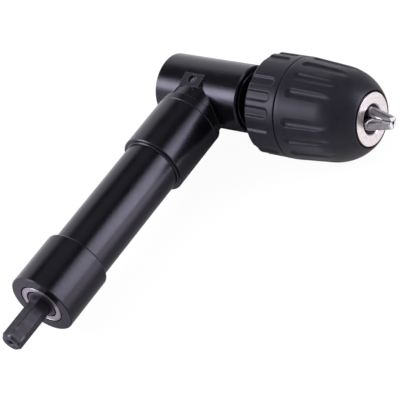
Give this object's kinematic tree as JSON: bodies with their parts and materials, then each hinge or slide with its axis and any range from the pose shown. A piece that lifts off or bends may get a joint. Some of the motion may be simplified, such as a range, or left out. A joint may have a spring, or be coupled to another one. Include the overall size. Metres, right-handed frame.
{
  "type": "right angle drill attachment",
  "caption": "Long right angle drill attachment: a hexagonal shank drives a keyless three-jaw chuck through bevel gears in a round black steel head.",
  "frame": {"origin": "centre of the rear cap's end face, where the shank comes out, on the input shaft's axis", "axes": "-Y along the input shaft, out of the shank's end; +X along the chuck, towards the jaws; +Z towards the grease port"},
  "size_m": [0.1089, 0.1642, 0.0416],
  "materials": {
    "black_steel": "blackened, satin",
    "dark_steel": "black oxide",
    "screw_steel": "dark steel",
    "bearing_steel": "ground steel",
    "cage_steel": "pressed steel",
    "nut_steel": "machined steel",
    "sleeve_plastic": "fine matt",
    "bright_ring": "polished",
    "jaw_steel": "ground, bright"
  },
  "bodies": {
    "housing": {"head_housing": "black_steel", "head_end_plug": "black_steel", "front_collar": "black_steel", "port_screw": "screw_steel", "neck_sleeve": "black_steel", "main_tube": "black_steel", "rear_cap": "black_steel", "pinion_bearing_circlip": "screw_steel", "outer_spacer": "screw_steel", "rear_bearing_outer_race": "bearing_steel", "rear_bearing_shield": "bearing_steel", "pinion_bearing_outer_races": "bearing_steel", "spindle_rear_outer_race": "bearing_steel", "spindle_front_outer_race": "bearing_steel"},
    "output": {"output_spindle": "dark_steel", "spindle_gear": "dark_steel", "gear_pin": "screw_steel", "spindle_rear_inner_race": "bearing_steel", "spindle_front_inner_race": "bearing_steel", "chuck_body": "dark_steel", "chuck_screw": "screw_steel", "rear_sleeve": "sleeve_plastic", "nose_ring": "bright_ring", "thrust_washer": "bearing_steel"},
    "input": {"input_shaft": "dark_steel", "inner_spacer": "screw_steel", "drive_pinion": "dark_steel", "pinion_pin": "screw_steel", "rear_bearing_inner_race": "bearing_steel", "pinion_bearing_inner_races": "bearing_steel"},
    "rear_bearing_set": {"rear_bearing_cage": "cage_steel", "rear_bearing_balls": "bearing_steel"},
    "pinion_bearing_set": {"pinion_bearing_cages": "cage_steel", "pinion_bearing_balls": "bearing_steel"},
    "spindle_rear_set": {"spindle_rear_cage": "cage_steel", "spindle_rear_balls": "bearing_steel"},
    "spindle_front_set": {"spindle_front_cage": "cage_steel", "spindle_front_balls": "bearing_steel"},
    "sleeve": {"front_sleeve": "sleeve_plastic", "jaw_nut_half_1": "nut_steel", "jaw_nut_half_2": "nut_steel", "nut_band": "nut_steel"},
    "thrust_set": {"thrust_balls": "bearing_steel"},
    "jaw_a": {"jaw_1": "jaw_steel"},
    "jaw_b": {"jaw_2": "jaw_steel"},
    "jaw_c": {"jaw_3": "jaw_steel"}
  },
  "joints": [
    {"name": "output_spin", "type": "hinge", "parent": "housing", "child": "output", "pos_m": [0, 0.1232, 0], "axis": [1, 0, 0], "continuous": true},
    {"name": "input_spin", "type": "hinge", "parent": "housing", "child": "input", "pos_m": [0, 0.1232, 0], "axis": [0, 1, 0], "continuous": true},
    {"name": "rear_set_spin", "type": "hinge", "parent": "housing", "child": "rear_bearing_set", "pos_m": [0, 0.1232, 0], "axis": [0, 1, 0], "continuous": true},
    {"name": "pinion_set_spin", "type": "hinge", "parent": "housing", "child": "pinion_bearing_set", "pos_m": [0, 0.1232, 0], "axis": [0, 1, 0], "continuous": true},
    {"name": "spindle_rear_set_spin", "type": "hinge", "parent": "housing", "child": "spindle_rear_set", "pos_m": [0, 0.1232, 0], "axis": [1, 0, 0], "continuous": true},
    {"name": "spindle_front_set_spin", "type": "hinge", "parent": "housing", "child": "spindle_front_set", "pos_m": [0, 0.1232, 0], "axis": [1, 0, 0], "continuous": true},
    {"name": "sleeve_turn", "type": "hinge", "parent": "output", "child": "sleeve", "pos_m": [0, 0.1232, 0], "axis": [1, 0, 0], "range_deg": [0, 3245.3]},
    {"name": "thrust_set_spin", "type": "hinge", "parent": "output", "child": "thrust_set", "pos_m": [0, 0.1232, 0], "axis": [1, 0, 0], "range_deg": [0, 1622.8]},
    {"name": "jaw_a_slide", "type": "slide", "parent": "output", "child": "jaw_a", "axis": [-0.9636, 0.1108, 0.2432], "range_m": [0, 0.01871]},
    {"name": "jaw_b_slide", "type": "slide", "parent": "output", "child": "jaw_b", "axis": [-0.9636, -0.266, -0.0256], "range_m": [0, 0.01871]},
    {"name": "jaw_c_slide", "type": "slide", "parent": "output", "child": "jaw_c", "axis": [-0.9636, 0.1552, -0.2176], "range_m": [0, 0.01871]}
  ],
  "couplings": [
    {"joint": "input_spin", "follows": "output_spin", "ratio": 1},
    {"joint": "rear_set_spin", "follows": "output_spin", "ratio": 0.4038},
    {"joint": "pinion_set_spin", "follows": "output_spin", "ratio": 0.4038},
    {"joint": "spindle_rear_set_spin", "follows": "output_spin", "ratio": 0.3553},
    {"joint": "spindle_front_set_spin", "follows": "output_spin", "ratio": 0.3838},
    {"joint": "thrust_set_spin", "follows": "sleeve_turn", "ratio": 0.5},
    {"joint": "jaw_a_slide", "follows": "sleeve_turn", "m_per_rad": 0.00033032},
    {"joint": "jaw_b_slide", "follows": "sleeve_turn", "m_per_rad": 0.00033032},
    {"joint": "jaw_c_slide", "follows": "sleeve_turn", "m_per_rad": 0.00033032}
  ]
}
